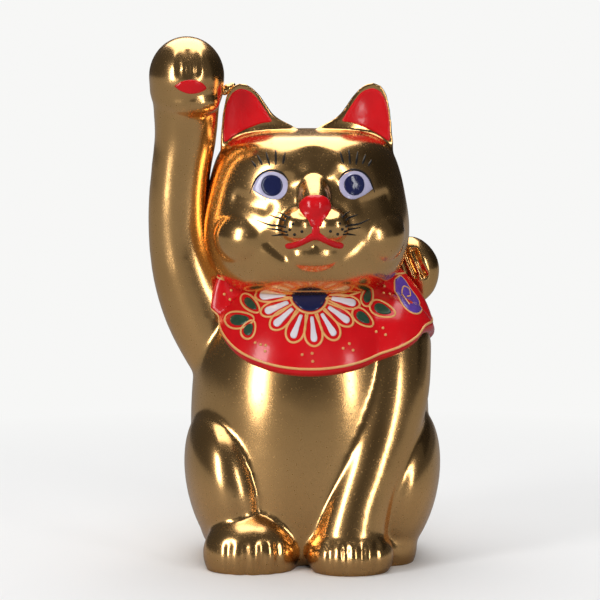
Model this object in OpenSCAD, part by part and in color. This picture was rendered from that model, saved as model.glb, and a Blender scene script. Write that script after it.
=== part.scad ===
/* [Figure] */
// Height from the ground to the top of the raised paw
height = 264; // [210:1:320]
// Thickness of the cast clay walls
wall = 5; // [4:0.5:6]
// Radius of the vent hole in the base
vent_r = 8; // [5:0.5:10]
/* [Enamel] */
// Thickness of the red bib slab
bib_t = 4; // [3:0.5:5]
// Height of the flat enamel fields
enamel_t = 0.5; // [0.4:0.1:0.8]
// Height of the raised outline trails
trail_t = 0.9; // [0.8:0.1:1.2]
// Width of the raised outline trails
trail_w = 1.2; // [1:0.1:1.6]

/* [Hidden] */

// Colours
GOLD = [0.86, 0.66, 0.36];
RED = [0.72, 0.05, 0.07];
CREAM = [0.95, 0.78, 0.60];
WHITE = [0.93, 0.93, 0.95];
NAVY = [0.06, 0.07, 0.18];
BLACK = [0.06, 0.06, 0.07];
GREEN = [0.16, 0.28, 0.22];
PURPLE = [0.30, 0.24, 0.60];

// The figure is drawn 264 mm high and scaled as a whole.
// X runs across it, -Y is the way it faces, and Z is up from the ground.
s = height / 264;
head_x = -2.5;    // the head sits a little off the torso's middle
head_y = -6;
floor_t = 6;      // thickness of the torso's floor
vent_y = 14;      // the base's vent hole is behind the middle
neck_z = 136;     // the luted joint between the torso and the head
neck_r = 24;      // the opening in the torso's top
head_vent_r = 10; // the opening in the head's floor
far = 100;        // longer than anything it cuts

// A smooth line through a few points
function curve4(a, b, c, d, t) =
    0.5 * (2 * b + (c - a) * t + (2 * a - 5 * b + 4 * c - d) * t * t
        + (3 * b - 3 * c + d - a) * t * t * t);
function smooth(p, n) = [
    for (i = [0 : len(p) - 2], j = [0 : n - 1])
        curve4(p[max(i - 1, 0)], p[i], p[i + 1], p[min(i + 2, len(p) - 1)], j / n),
    p[len(p) - 1]
];
function reversed(p) = [for (i = [len(p) - 1 : -1 : 0]) p[i]];
// A flat line moved to its right by g
function aside(p, g) = [
    for (i = [0 : len(p) - 1])
        let (d = p[min(i + 1, len(p) - 1)] - p[max(i - 1, 0)])
            p[i] + g * [d[1], -d[0]] / norm(d)
];

// Half outlines of the castings, as [radius, height]
TORSO_LINE = smooth([
    [46, 0], [54, 6], [59, 24], [60.5, 50], [60, 78], [57, 101], [50, 119], [42, 130], [34, neck_z]
], 2);
HEAD_LINE = smooth([
    [34, neck_z], [42, 140], [48.5, 148.5], [51.8, 160], [51.9, 172], [49.5, 187], [46.5, 200],
    [42, 212], [28, 218], [0.1, 219.5]
], 2);

// Places the head and what is drawn on its own axis
module at_head() translate([head_x, head_y, 0]) children();
// The solid forms, grown by g on every side
module torso_form(g = 0) {
    line = aside(TORSO_LINE, g);
    rotate_extrude($fn = 96) polygon([[0, line[0][1]], each line, [0, line[len(line) - 1][1]]]);
}
module head_form(g = 0) {
    line = aside(HEAD_LINE, g);
    at_head()
        rotate_extrude($fn = 96) polygon([[0, line[0][1]], each line, [0, line[len(line) - 1][1]]]);
}
// An ellipsoid from its centre and half axes
module egg(c, h, turn = [0, 0, 0]) {
    translate(c) rotate(turn) scale(h) sphere(r = 1, $fn = 48);
}
module chest_form(g = 0) {
    torso_form(g);
    shoulder_form(g);
}
module shoulder_form(g = 0) egg([37, -29, 103], [24 + g, 29 + g, 25 + g]);
module haunch_form(side) egg([side * 42, -15, 36], [23, 43, 36]);
module right_foot_form() egg([-33.5, -44, 4], [24, 22, 23.5]);
module left_foot_form() egg([35, -40, 3], [12, 24, 15]);
// The muzzle: two lobes and a nose
module muzzle_form(g = 0) {
    at_head() {
        for (side = [-1, 1]) egg([side * 8.5, -46, 169], [12 + g, 10 + g, 11 + g]);
        egg([0, -49, 181.5], [9 + g, 9 + g, 7.5 + g]);
    }
}
// Everything above the ground
module above_ground() {
    intersection() {
        children();
        translate([-far, -far, 0]) cube([2 * far, 2 * far, 3 * far]);
    }
}
// A flat outline in X and Z, pushed forward from y
module forward(y = 0, reach = far) {
    translate([0, y, 0]) rotate([90, 0, 0]) linear_extrude(reach) children();
}
// A round limb swept along [x, y, z, radius] points
module limb(points, inset = 0, steps = 2, sides = 24) {
    p = smooth(points, steps);
    for (i = [0 : len(p) - 2])
        hull()
            for (q = [p[i], p[i + 1]])
                translate([q[0], q[1], q[2]]) sphere(r = q[3] - inset, $fn = sides);
}

// Castings
module torso() {
    inner = [for (p = aside(TORSO_LINE, -wall)) if (p[1] > floor_t && p[1] < neck_z - wall) p];
    color(GOLD)
        difference() {
            rotate_extrude($fn = 96)
                polygon([
                    [0, 0], each TORSO_LINE, [neck_r, neck_z], [neck_r, neck_z - wall],
                    each reversed(inner), [inner[0][0], floor_t], [0, floor_t]
                ]);
            translate([0, vent_y, -1]) cylinder(r = vent_r, h = floor_t + 2, $fn = 48);
        }
}
module head() {
    roof = HEAD_LINE[len(HEAD_LINE) - 1][1] - wall;
    inner = [for (p = aside(HEAD_LINE, -wall)) if (p[1] > neck_z + wall && p[0] > 1) p];
    color(GOLD)
        difference() {
            union() {
                at_head()
                    rotate_extrude($fn = 96)
                        polygon([
                            [0, neck_z], each HEAD_LINE, [0, roof + wall], [0, roof],
                            each reversed(inner), [inner[0][0], neck_z + wall], [0, neck_z + wall]
                        ]);
                muzzle_form();
            }
            at_head() translate([0, 0, neck_z - 1]) cylinder(r = head_vent_r, h = wall + 2, $fn = 48);
        }
}
ARM_PATH = [
    [-47, 2, 110, 18], [-56, 2, 128, 18.5], [-62.5, 1, 145, 17.5], [-66, 0, 163, 16],
    [-66.5, -2, 180, 15.3], [-65.5, -4, 197, 15], [-63.5, -6, 214, 15.3], [-63, -9, 232, 16]
];
module paw_form(g = 0) egg([-63, -13, 244], [19 + g, 21 + g, 20 + g], [-12, 0, 0]);
module raised_arm() {
    color(GOLD)
        difference() {
            union() {
                limb(ARM_PATH);
                paw_form();
            }
            limb(ARM_PATH, wall, 1, 16);
            torso_form();
            head_form();
        }
}
FORELEG_PATH = [
    [36, -34, 106, 18], [35.5, -39, 86, 18.5], [31, -44, 66, 17.5], [26.5, -48, 51, 16.3],
    [22, -51, 38, 16], [17.5, -53, 25, 17.5]
];
module left_foreleg() {
    color(GOLD)
        difference() {
            above_ground() {
                shoulder_form();
                limb(FORELEG_PATH);
                egg([15.5, -54, 5], [22, 22, 18]);
            }
            torso_form();
            head_form();
            haunch_form(1);
            left_foot_form();
        }
}
module haunch(side) {
    color(GOLD)
        difference() {
            haunch_form(side);
            torso_form();
        }
}
module right_haunch() haunch(-1);
module left_haunch() haunch(1);
module right_hind_foot() {
    color(GOLD)
        difference() {
            above_ground() right_foot_form();
            torso_form();
            haunch_form(-1);
        }
}
module left_hind_foot() {
    color(GOLD)
        difference() {
            above_ground() left_foot_form();
            torso_form();
            haunch_form(1);
        }
}
TAIL_PATH = [
    [-2, 52, 12, 8], [2, 58, 18, 8.5], [8, 60, 27, 8.5], [14, 59, 36, 8], [18, 57, 44, 7]
];
module tail() {
    color(GOLD)
        difference() {
            above_ground() limb(TAIL_PATH);
            torso_form();
        }
}

// The ears: rounded triangles that face forward, as [x, z] on the cat's left
ear_y = 2;
ear_t = 11;
EAR_OUTLINE = smooth([
    [12, 205], [15, 219], [19, 225], [24, 232], [30, 237], [36, 238], [41, 234], [44, 220], [45, 205]
], 2);
EAR_FIELD = smooth([
    [17, 217], [21, 224], [26, 231], [31, 235], [36, 235.5], [39.5, 232], [42, 220], [43, 209],
    [36, 212.5], [27, 215.5]
], 2);
// What is drawn for the cat's left side of the head, or its mirror image
module head_side(side) translate([head_x, 0, 0]) mirror([side < 0 ? 1 : 0, 0, 0]) children();
module ear_form(side) head_side(side) forward(ear_y, ear_t) polygon(EAR_OUTLINE);
module ear(side) {
    color(GOLD)
        difference() {
            ear_form(side);
            head_form();
        }
}
module right_ear() ear(-1);
module left_ear() ear(1);
module ear_tack() {
    color(GOLD)
        difference() {
            egg([-44, -8, 233], [4, 3.4, 3.4]);
            ear_form(-1);
            paw_form();
        }
}

// The bib and its ribbon
BIB_OUTLINE = concat(
    [[-49, 146], [49, 149]],
    smooth([
        [56, 140], [62, 128], [66, 114], [60, 113], [52, 118], [42, 114], [28, 104],
        [12, 99.5], [-4, 98], [-20, 100], [-34, 107], [-44, 118], [-49, 131]
    ], 2)
);
module bib() {
    color(RED)
        intersection() {
            difference() {
                chest_form(bib_t);
                chest_form();
                head_form();
            }
            forward(16) polygon(BIB_OUTLINE);
        }
}
module knot_form() egg([46.5, 17, 152], [7, 7, 7.5], [0, 30, 0]);
module front_loop_form() egg([57.5, 15, 142.5], [10, 9, 16.5], [0, -24, 0]);
module rear_loop_form() egg([40, 34, 141], [9, 15, 11], [-28, 0, 30]);
module neck_ribbon() {
    color(GOLD)
        difference() {
            translate([0, -1, 140]) rotate_extrude($fn = 64) translate([42, 0]) circle(r = 3.4, $fn = 24);
            head_form();
            torso_form();
            translate([-far, -2 * far, 0]) cube([2 * far, 2 * far, 2 * far]);
            knot_form();
        }
}
module bow_knot() {
    color(GOLD)
        difference() {
            knot_form();
            head_form();
            chest_form();
        }
}
module bow_front_loop() {
    color(GOLD)
        difference() {
            front_loop_form();
            knot_form();
            head_form();
            torso_form();
        }
}
module bow_rear_loop() {
    color(GOLD)
        difference() {
            rear_loop_form();
            knot_form();
            head_form();
            torso_form();
        }
}
module ribbon_ends() {
    color(GOLD)
        difference() {
            union() {
                egg([52, 22, 124], [5.5, 4.5, 15], [0, 12, 0]);
                egg([44, 32, 121], [5.5, 4.5, 15], [0, -10, 0]);
            }
            torso_form();
            front_loop_form();
            rear_loop_form();
        }
}

// Enamels on the head
module on_head() {
    intersection() {
        difference() {
            head_form(enamel_t);
            head_form();
        }
        children();
    }
}
module oval(c, h, sides = 40) translate(c) scale(h) circle(r = 1, $fn = sides);
EYE = [20.5, 191.4];
EYE_SIZE = [7.4, 6.4];
iris_r = 5.2;
module eye_white(side) {
    color(WHITE)
        on_head()
            head_side(side)
                forward(head_y)
                    difference() {
                        oval(EYE, EYE_SIZE);
                        translate(EYE) circle(r = iris_r, $fn = 40);
                    }
}
module iris(side) {
    color(NAVY) on_head() head_side(side) forward(head_y) translate(EYE) circle(r = iris_r, $fn = 40);
}
module right_eye_white() eye_white(-1);
module left_eye_white() eye_white(1);
module right_iris() iris(-1);
module left_iris() iris(1);
MOUTH_OUTLINE = [
    [-2, 177], [-2, 167], [-13, 162.5], [-15, 159.5], [-12, 158.5], [0, 163],
    [12, 158.5], [15, 159.5], [13, 162.5], [2, 167], [2, 177]
];
module nose_and_mouth() {
    color(RED)
        intersection() {
            difference() {
                muzzle_form(enamel_t);
                muzzle_form();
                head_form();
            }
            translate([head_x, 0, 0])
                forward(head_y) {
                    oval([0, 181.5], [8, 6.5]);
                    polygon(MOUTH_OUTLINE);
                }
        }
}
module ear_enamel(side) {
    color(RED) head_side(side) forward(ear_y - ear_t, enamel_t) polygon(EAR_FIELD);
}
module right_ear_enamel() ear_enamel(-1);
module left_ear_enamel() ear_enamel(1);
module paw_pad() {
    color(RED)
        intersection() {
            difference() {
                paw_form(enamel_t);
                paw_form();
            }
            forward(-13) oval([-61, 236], [8, 4]);
        }
}

// Enamels on the bib, drawn flat in X and Z and laid on its curved face
module on_bib(g) {
    intersection() {
        difference() {
            chest_form(bib_t + g);
            chest_form(bib_t);
            head_form();
        }
        forward(0) children();
    }
}
// A line of constant width
module trail(points, w = trail_w) {
    polygon([each aside(points, w / 2), each reversed(aside(points, -w / 2))]);
}
HEM_LINE = smooth([
    [-47, 131], [-42, 120], [-32, 110.5], [-19, 104.5], [-4, 102.5], [12, 104], [27, 108.5],
    [41, 117], [51, 122], [58, 119]
], 3);
module bib_edge_trail() color(CREAM) on_bib(trail_t) trail(HEM_LINE);

// The half flower under the chin
FLOWER = [1, 137];
flower_r = 8.5;
petal_n = 9;
PETAL = [7, 2.9];   // half length and half width of one petal
module petal(i, grow = 0) {
    translate(FLOWER)
        rotate(-172 + 20.5 * i)
            oval([flower_r + PETAL[0] + 1, 0], [PETAL[0] + grow, PETAL[1] + grow], 12);
}
module flower_centre() {
    color(BLACK)
        on_bib(enamel_t)
            intersection() {
                translate(FLOWER) circle(r = flower_r, $fn = 12);
                translate([-far, 0]) square([2 * far, FLOWER[1]]);
            }
}
module flower_petals() {
    color(WHITE) on_bib(enamel_t) for (i = [0 : petal_n - 1]) petal(i, -trail_w);
}
module petal_trails() {
    color(CREAM)
        on_bib(trail_t)
            difference() {
                for (i = [0 : petal_n - 1]) petal(i);
                for (i = [0 : petal_n - 1]) petal(i, -trail_w);
            }
}
// Leaves at both sides of the flower, as [x, z, angle, half length]
LEAVES = [
    [-34, 122, 14, 7], [-29, 114.5, 50, 5.5], [-28, 130, -30, 5],
    [29, 131, 60, 5], [28, 122, -25, 5], [37, 124, -12, 6.5]
];
module leaf(l, grow = 0) {
    translate([l[0], l[1]]) rotate(l[2]) oval([0, 0], [l[3] + grow, l[3] / 2 + grow], 12);
}
module leaves() color(GREEN) on_bib(enamel_t) for (l = LEAVES) leaf(l, -trail_w);
module leaf_trails() {
    color(CREAM)
        on_bib(trail_t)
            difference() {
                for (l = LEAVES) leaf(l);
                for (l = LEAVES) leaf(l, -trail_w);
            }
}
// A spiral cloud at the left shoulder
SWIRL_LINE = [for (i = [2 : 16]) [53, 131] + 0.42 * i * [cos(40 * i), sin(40 * i)]];
module cloud_swirl() color(PURPLE) on_bib(enamel_t) trail(SWIRL_LINE, 2);
// Dots in threes
DOT_GROUPS = [[-38, 133], [-25, 107], [1, 107], [21, 110], [35, 115], [41, 136]];
module bib_dots() {
    color(CREAM)
        on_bib(enamel_t)
            for (g = DOT_GROUPS, a = [90, 210, 330])
                translate(g + 2 * [cos(a), sin(a)]) circle(r = 0.9, $fn = 6);
}

scale(s) {
    torso();
    head();
    raised_arm();
    left_foreleg();
    right_haunch();
    left_haunch();
    right_hind_foot();
    left_hind_foot();
    tail();
    right_ear();
    left_ear();
    ear_tack();
    bib();
    neck_ribbon();
    bow_knot();
    bow_front_loop();
    bow_rear_loop();
    ribbon_ends();
    right_ear_enamel();
    left_ear_enamel();
    right_eye_white();
    left_eye_white();
    right_iris();
    left_iris();
    nose_and_mouth();
    paw_pad();
    bib_edge_trail();
    flower_centre();
    flower_petals();
    petal_trails();
    leaves();
    leaf_trails();
    cloud_swirl();
    bib_dots();
}
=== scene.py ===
# %% [markdown]
# # A gold beckoning cat
# The real one is slip-cast clay: a torso, a head, a raised arm and small castings are luted together
# while soft, then glazed, covered in gold lustre and decorated with raised enamels.
# The lesson follows the potter. Each gold form is modelled as overlapping lumps, the lumps are fused
# into one skin, and the skin is worked with brushes. The enamels are then laid on that skin.

# %% Load the frame and keep its box
import math

import bmesh
import bpy
import numpy as np
from mathutils import Euler, Matrix, Vector
from mathutils.bvhtree import BVHTree


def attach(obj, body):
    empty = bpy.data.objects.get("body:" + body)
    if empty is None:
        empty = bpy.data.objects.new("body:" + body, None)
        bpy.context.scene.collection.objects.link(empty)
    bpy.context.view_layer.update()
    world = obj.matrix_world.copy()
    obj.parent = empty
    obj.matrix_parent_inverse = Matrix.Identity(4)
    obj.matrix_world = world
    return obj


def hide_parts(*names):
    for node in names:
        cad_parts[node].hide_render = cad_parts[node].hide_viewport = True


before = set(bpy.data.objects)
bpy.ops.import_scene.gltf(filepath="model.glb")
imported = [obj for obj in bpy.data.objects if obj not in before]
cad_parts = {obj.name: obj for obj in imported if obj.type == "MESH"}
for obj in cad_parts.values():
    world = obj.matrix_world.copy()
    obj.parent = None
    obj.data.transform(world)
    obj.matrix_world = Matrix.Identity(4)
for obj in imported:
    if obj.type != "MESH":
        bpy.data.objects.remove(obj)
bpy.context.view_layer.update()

BODY = "root"
MM = 0.001

# %% [markdown]
# ## Shader maths
# A material is a small graph of nodes. A class that wraps a socket lets the graph be written as sums
# and products. Any other node comes from one method, which takes its type, settings and inputs.


# %% A socket that can be added and multiplied
class Wire:
    """A number that changes over the surface."""

    def __init__(self, graph, socket):
        self.graph = graph
        self.socket = socket

    def maths(self, operation, *others):
        inputs = {0: self, **{i + 1: other for i, other in enumerate(others)}}
        return self.graph.node("ShaderNodeMath", {"operation": operation}, inputs)

    def __add__(self, other):
        return self.maths("ADD", other)

    def __mul__(self, other):
        return self.maths("MULTIPLY", other)

    def __sub__(self, other):
        return self.maths("SUBTRACT", other)

    def __rsub__(self, other):
        return self.graph.node("ShaderNodeMath", {"operation": "SUBTRACT"}, {0: other, 1: self})

    __radd__ = __add__
    __rmul__ = __mul__


class Finish:
    """A material with one Principled shader, on Object coordinates."""

    def __init__(self, name, **constants):
        self.material = bpy.data.materials.new(name)
        self.material.use_nodes = True
        self.tree = self.material.node_tree
        self.shader = self.tree.nodes["Principled BSDF"]
        for socket, value in constants.items():
            self.shader.inputs[socket.replace("_", " ")].default_value = value
        self.place = self.node("ShaderNodeTexCoord", {}, {}, "Object")

    def node(self, kind, settings, inputs, output=0):
        made = self.tree.nodes.new(kind)
        for key, value in settings.items():
            setattr(made, key, value)
        for key, value in inputs.items():
            if isinstance(value, Wire):
                self.tree.links.new(value.socket, made.inputs[key])
            else:
                made.inputs[key].default_value = value
        return Wire(self, made.outputs[output])

    def noise(self, size_mm, detail=2.0):
        inputs = {"Vector": self.place, "Scale": 1 / (size_mm * MM), "Detail": detail}
        return self.node("ShaderNodeTexNoise", {}, inputs)

    def spread(self, value, low, high):
        """Stretches the stretch from low to high of a value to 0 to 1."""
        inputs = {"Value": value, "From Min": low, "From Max": high}
        return self.node("ShaderNodeMapRange", {"clamp": True}, inputs)

    def blend(self, mask, first, second):
        made = self.tree.nodes.new("ShaderNodeMix")
        made.data_type = "RGBA"
        self.tree.links.new(mask.socket, made.inputs["Factor"])
        for key, colour in (("A", first), ("B", second)):
            socket = next(s for s in made.inputs if s.name == key and s.type == "RGBA")
            if isinstance(colour, Wire):
                self.tree.links.new(colour.socket, socket)
            else:
                socket.default_value = (*colour, 1)
        return Wire(self, next(s for s in made.outputs if s.type == "RGBA"))

    def bump(self, height, distance_mm, strength=1.0):
        inputs = {"Height": height, "Distance": distance_mm * MM, "Strength": strength}
        return self.node("ShaderNodeBump", {}, inputs)

    def wear(self, **wires):
        for socket, wire in wires.items():
            self.tree.links.new(wire.socket, self.shader.inputs[socket.replace("_", " ")])
        return self.material


# %% [markdown]
# ## The finishes
# Gold lustre is a film of metal fired on a glossy glaze: a mirror, broken by fine pits and the slow
# waves of the glaze under it. The enamels are coloured glass, so they are glossy and hardly metallic.


# %% Gold lustre
def gold_lustre():
    gold = Finish("gold_lustre", Metallic=1.0)
    cloud = gold.noise(34, 3)
    pits = gold.spread(gold.noise(1.1, 1), 0.66, 0.80)
    waves = gold.noise(17, 1)
    orange_peel = gold.noise(2.6, 2)
    pale = gold.blend(cloud, (0.80, 0.445, 0.16), (0.92, 0.55, 0.225))
    colour = gold.blend(pits * 0.55, pale, (0.30, 0.15, 0.06))
    rough = 0.17 + cloud * 0.10 + pits * 0.25
    height = waves + orange_peel * 0.025 - pits * 0.05
    return gold.wear(Base_Color=colour, Roughness=rough, Normal=gold.bump(height, 0.4, 0.5))


GOLD = gold_lustre()
print("made", GOLD.name)


# %% Enamels
def enamel_glass(name, light, dark, rough=0.12, grain_mm=5.0):
    """Glossy coloured glass, a little uneven where the brush left it thin."""
    glass = Finish(name, Coat_Weight=0.2, Coat_Roughness=0.05, Specular_IOR_Level=0.35)
    streaks = glass.noise(grain_mm, 3)
    specks = glass.spread(glass.noise(0.7, 2), 0.62, 0.78)
    colour = glass.blend(streaks, dark, light)
    height = streaks * 0.4 + specks * 0.2
    return glass.wear(
        Base_Color=colour, Roughness=rough + specks * 0.12, Normal=glass.bump(height, 0.12)
    )


RED = enamel_glass("red_enamel", (0.66, 0.007, 0.011), (0.48, 0.004, 0.007), 0.2, 9.0)
WHITE = enamel_glass("white_enamel", (0.74, 0.70, 0.74), (0.58, 0.53, 0.58), 0.2)
EYE_WHITE = enamel_glass("eye_white_enamel", (0.50, 0.47, 0.62), (0.36, 0.34, 0.50), 0.12)
NAVY = enamel_glass("navy_enamel", (0.016, 0.02, 0.075), (0.008, 0.01, 0.045), 0.08)
BLACK = enamel_glass("black_enamel", (0.006, 0.005, 0.006), (0.003, 0.003, 0.003), 0.45)
GREEN = enamel_glass("green_enamel", (0.035, 0.085, 0.050), (0.012, 0.035, 0.022), 0.2, 2.5)
PURPLE = enamel_glass("purple_enamel", (0.15, 0.07, 0.42), (0.07, 0.03, 0.22), 0.2, 2.5)
CREAM = enamel_glass("cream_gold_line", (0.78, 0.44, 0.17), (0.62, 0.29, 0.08), 0.28, 1.5)
print("made 8 enamels")

# %% [markdown]
# ## Lumps of clay
# An ellipsoid, a turned outline, a flat plate and a limb are all the lumps that the cat needs. They
# may overlap as they like, because a voxel remesh keeps only the outside of all of them together.
# Sizes are in millimetres, as a potter reads them, and a lump is scaled to metres as it is made.


# %% A smooth line, and what an extrusion made
def curve_through(points, steps):
    """Points on a smooth line through the given ones."""
    points = [Vector(p) for p in points]
    line = []
    for i in range(len(points) - 1):
        a, b = points[max(i - 1, 0)], points[i]
        c, d = points[i + 1], points[min(i + 2, len(points) - 1)]
        for step in range(steps):
            t = step / steps
            line.append(
                0.5 * (2 * b + (c - a) * t + (2 * a - 5 * b + 4 * c - d) * t**2
                       + (3 * b - 3 * c + d - a) * t**3)
            )
    return line + [points[-1]]


def verts_in(geometry):
    return [g for g in geometry if isinstance(g, bmesh.types.BMVert)]


def edges_in(geometry):
    return [g for g in geometry if isinstance(g, bmesh.types.BMEdge)]


def edges_round(ring):
    """The edges of a loose ring of points, always in the same order."""
    return list(dict.fromkeys(e for v in ring for e in v.link_edges))


# %% The lumps
def egg(bm, centre, half, turn=(0, 0, 0)):
    """An ellipsoid from its centre, half axes and turn in degrees."""
    place = (
        Matrix.Translation(Vector(centre) * MM)
        @ Euler([math.radians(a) for a in turn]).to_matrix().to_4x4()
        @ Matrix.Diagonal((*[h * MM for h in half], 1))
    )
    bmesh.ops.create_uvsphere(bm, u_segments=64, v_segments=40, radius=1, matrix=place)


def turned(bm, outline, flat=1.0, centre=(0, 0), steps=6):
    """An outline of (radius, height) spun about an upright axis and flattened front to back."""
    lathe = bmesh.new()
    line = curve_through([(r, 0, z) for r, z in outline], steps)
    verts = [lathe.verts.new(Vector((max(p.x, 0), 0, p.z)) * MM) for p in line]
    edges = [lathe.edges.new(pair) for pair in zip(verts, verts[1:])]
    bmesh.ops.spin(
        lathe, geom=verts + edges, axis=(0, 0, 1), angle=2 * math.pi, steps=96, use_merge=True
    )
    bmesh.ops.remove_doubles(lathe, verts=lathe.verts[:], dist=0.01 * MM)
    bmesh.ops.scale(lathe, vec=(1, flat, 1), verts=lathe.verts[:])
    bmesh.ops.translate(lathe, vec=(centre[0] * MM, centre[1] * MM, 0), verts=lathe.verts[:])
    add(bm, lathe)


def add(bm, other):
    """Puts one bmesh into another."""
    carrier = bpy.data.meshes.new("carrier")
    other.to_mesh(carrier)
    other.free()
    bm.from_mesh(carrier)
    bpy.data.meshes.remove(carrier)


def limb(bm, path, steps=6):
    """A round limb through (x, y, z, radius) points."""
    for p in curve_through(path, steps):
        place = Matrix.Translation(Vector(p[:3]) * MM)
        bmesh.ops.create_icosphere(bm, subdivisions=3, radius=p[3] * MM, matrix=place)


def plate(bm, outline, back, front, slope):
    """A plate from an outline of (x, z), standing between two depths and sloped in toward its back."""
    verts = [bm.verts.new(Vector((x, back, z)) * MM) for x, z in outline]
    face = bm.faces.new(verts)
    grown = bmesh.ops.extrude_face_region(bm, geom=[face])["geom"]
    bmesh.ops.translate(bm, vec=(0, (front - back) * MM, 0), verts=verts_in(grown))
    low = min(verts, key=lambda v: v.co.z).co.z
    pivot = Matrix.Translation((-sum(v.co.x for v in verts) / len(verts), 0, -low))
    bmesh.ops.scale(bm, vec=(slope, 1, slope), space=pivot, verts=verts)


# %% [markdown]
# ## From lumps to a skin
# Voxel remesh turns the overlapping lumps into one closed skin of small squares, and a few rounds of
# smoothing draw the joins together, as a wet sponge does on clay. The squares are finest for the
# smallest pieces, and finer for the face than for the body.


# %% Fuse and smooth
def linked(name, bm):
    """An object made from a bmesh, put in the scene."""
    mesh = bpy.data.meshes.new(name)
    bm.to_mesh(mesh)
    bm.free()
    made = bpy.data.objects.new(name, mesh)
    bpy.context.scene.collection.objects.link(made)
    return made


def fused(name, bm, voxel_mm, rounds):
    """One closed, smoothed skin from overlapping lumps."""
    bmesh.ops.recalc_face_normals(bm, faces=bm.faces[:])
    piece = linked(name, bm)
    remesh = piece.modifiers.new("fuse", "REMESH")
    remesh.mode = "VOXEL"
    remesh.voxel_size = voxel_mm * MM
    sponge = piece.modifiers.new("sponge", "SMOOTH")
    sponge.factor = 0.5
    sponge.iterations = rounds
    return settled(piece)


def settled(piece):
    """Applies a piece's modifiers."""
    ready = piece.evaluated_get(bpy.context.evaluated_depsgraph_get())
    old, new = piece.data, bpy.data.meshes.new_from_object(ready)
    piece.modifiers.clear()
    piece.data = new
    new.name = piece.name
    bpy.data.meshes.remove(old)
    return piece


def surface_of(piece):
    """A tree of a piece's faces that rays can be cast at."""
    mesh = piece.data
    return BVHTree.FromPolygons([v.co for v in mesh.vertices], [p.vertices for p in mesh.polygons])


# %% [markdown]
# ## Brushes
# A sculptor's brush moves the points near a line, most at the line and less with distance. Here a
# brush has a path, a reach and a push, and it works on all the points at once with numpy.


# %% Brush strokes
def points_of(piece):
    flat = np.empty(len(piece.data.vertices) * 3)
    piece.data.vertices.foreach_get("co", flat)
    return flat.reshape(-1, 3)


def brush(points, path, reach, push):
    """Moves points near a path of (x, y, z) by push, fading over reach. All are in millimetres."""
    nearest = np.full(len(points), np.inf)
    path = [np.array(p, float) * MM for p in path]
    for start, end in zip(path, path[1:] or path):
        along = end - start
        length = max(float(along @ along), 1e-12)
        t = np.clip((points - start) @ along / length, 0, 1)
        gap = points - start - t[:, None] * along
        nearest = np.minimum(nearest, np.einsum("ij,ij->i", gap, gap))
    fade = np.exp(-nearest / (reach * MM) ** 2)
    points += fade[:, None] * np.array(push, float) * MM


def reshape(piece, points):
    piece.data.vertices.foreach_set("co", points.ravel())
    piece.data.update()


# %% [markdown]
# ## The body
# The torso is a turned bell, wider at the hips. The raised arm, the foreleg, the haunches, the feet and
# the tail are lumps on it, so that the luted joints blend as they do on the real casting.

# %% Body lumps
TORSO = [(0, 0), (42, 0), (51, 3), (56, 12), (59, 28), (60.5, 50), (60.5, 78), (58, 100), (51, 118),
         (42, 130), (33, 137), (24, 150), (0, 152)]
FLAT = 0.93
ARM = [(-42, 2, 100, 19), (-49, 2, 114, 20), (-56, 2, 128, 19.5), (-62, 1, 144, 18), (-65.5, 0, 161, 16.5),
       (-66.7, -2, 179, 15.5), (-65.5, -4, 197, 15.2), (-63.3, -6, 214, 15.8), (-63, -9, 232, 17)]
FORELEG = [(37, -20, 108, 23), (36, -29, 88, 22), (31.5, -37, 66, 20), (26.5, -43, 51, 18.2),
           (22, -47, 39, 17), (18, -50, 27, 17), (15.5, -51, 16, 18)]
SHOULDER = [(35, 3, 141, 8), (42, 2, 128, 12), (47, 1, 114, 13.5), (46, 0, 98, 13)]
ARMPIT = [(-42, -3, 144, 10.5), (-43, -3, 128, 13), (-44.5, -2, 112, 14)]
TAIL = [(-6, 50, 10, 8), (2, 58, 18, 9), (9, 60, 28, 9), (14, 58, 37, 8.3), (17, 54, 45, 7)]
# Each casting is its limbs, then its ellipsoids as centre, half axes and turn
CASTINGS = {
    "raised_arm": ([ARM], [((-63, -13, 244), (19, 21, 20.2), (-12, 0, 0)),
                           ((-63, -12, 238), (18.6, 19, 17), (0, 0, 0)),
                           ((-61, -20, 232), (14.5, 12, 8), (0, 0, 0))]),
    "left_foreleg": ([FORELEG], [((15.5, -54, 8), (22, 20, 15.5), (0, 0, 0))]),
    "right_haunch": ([], [((-42, -14, 37), (21.5, 40, 42), (0, -13, 0))]),
    "left_haunch": ([], [((42, -14, 37), (21.5, 40, 42), (0, 13, 0))]),
    "right_hind_foot": ([], [((-33.5, -44, 8), (24, 21, 20.5), (0, 0, 0))]),
    "left_hind_foot": ([], [((36.5, -27, 8), (15.5, 21, 18), (0, 0, 0))]),
    "tail": ([TAIL], []),
}


def body_lumps():
    bm = bmesh.new()
    turned(bm, TORSO, FLAT)
    limb(bm, SHOULDER)
    limb(bm, ARMPIT)
    for limbs, eggs in CASTINGS.values():
        for path in limbs:
            limb(bm, path)
        for centre, half, turn in eggs:
            egg(bm, centre, half, turn)
    return bm


body = fused("body_clay", body_lumps(), voxel_mm=1.1, rounds=24)
print("body skin:", len(body.data.polygons), "faces")

# %% [markdown]
# ## Working the body
# Toes are shallow grooves pressed into the front of a paw. A groove of a front or hind paw starts on
# top of it and runs down its front. The base is then cut level, and a round firing vent is sunk in it.

# %% Toes
# Each groove is its x, its y at the front of the paw and its share of the depth
FORE_TOES = [(3.5, -71, 0.7), (11.5, -74, 1.1), (19.5, -74, 1.1), (27, -71, 0.7)]
HIND_TOES = [(-45.5, -61, 0.7), (-37.5, -64, 1.1), (-29.5, -64.5, 1.1), (-22, -61, 0.7)]
RAISED_TOES = [(-73.3, 0.7), (-67.7, 1.0), (-63.3, 1.0), (-58.9, 1.0), (-53.5, 0.7)]
TOE_TOP, TOE_REACH, TOE_DEPTH = 15, 2.1, 1.5


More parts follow.
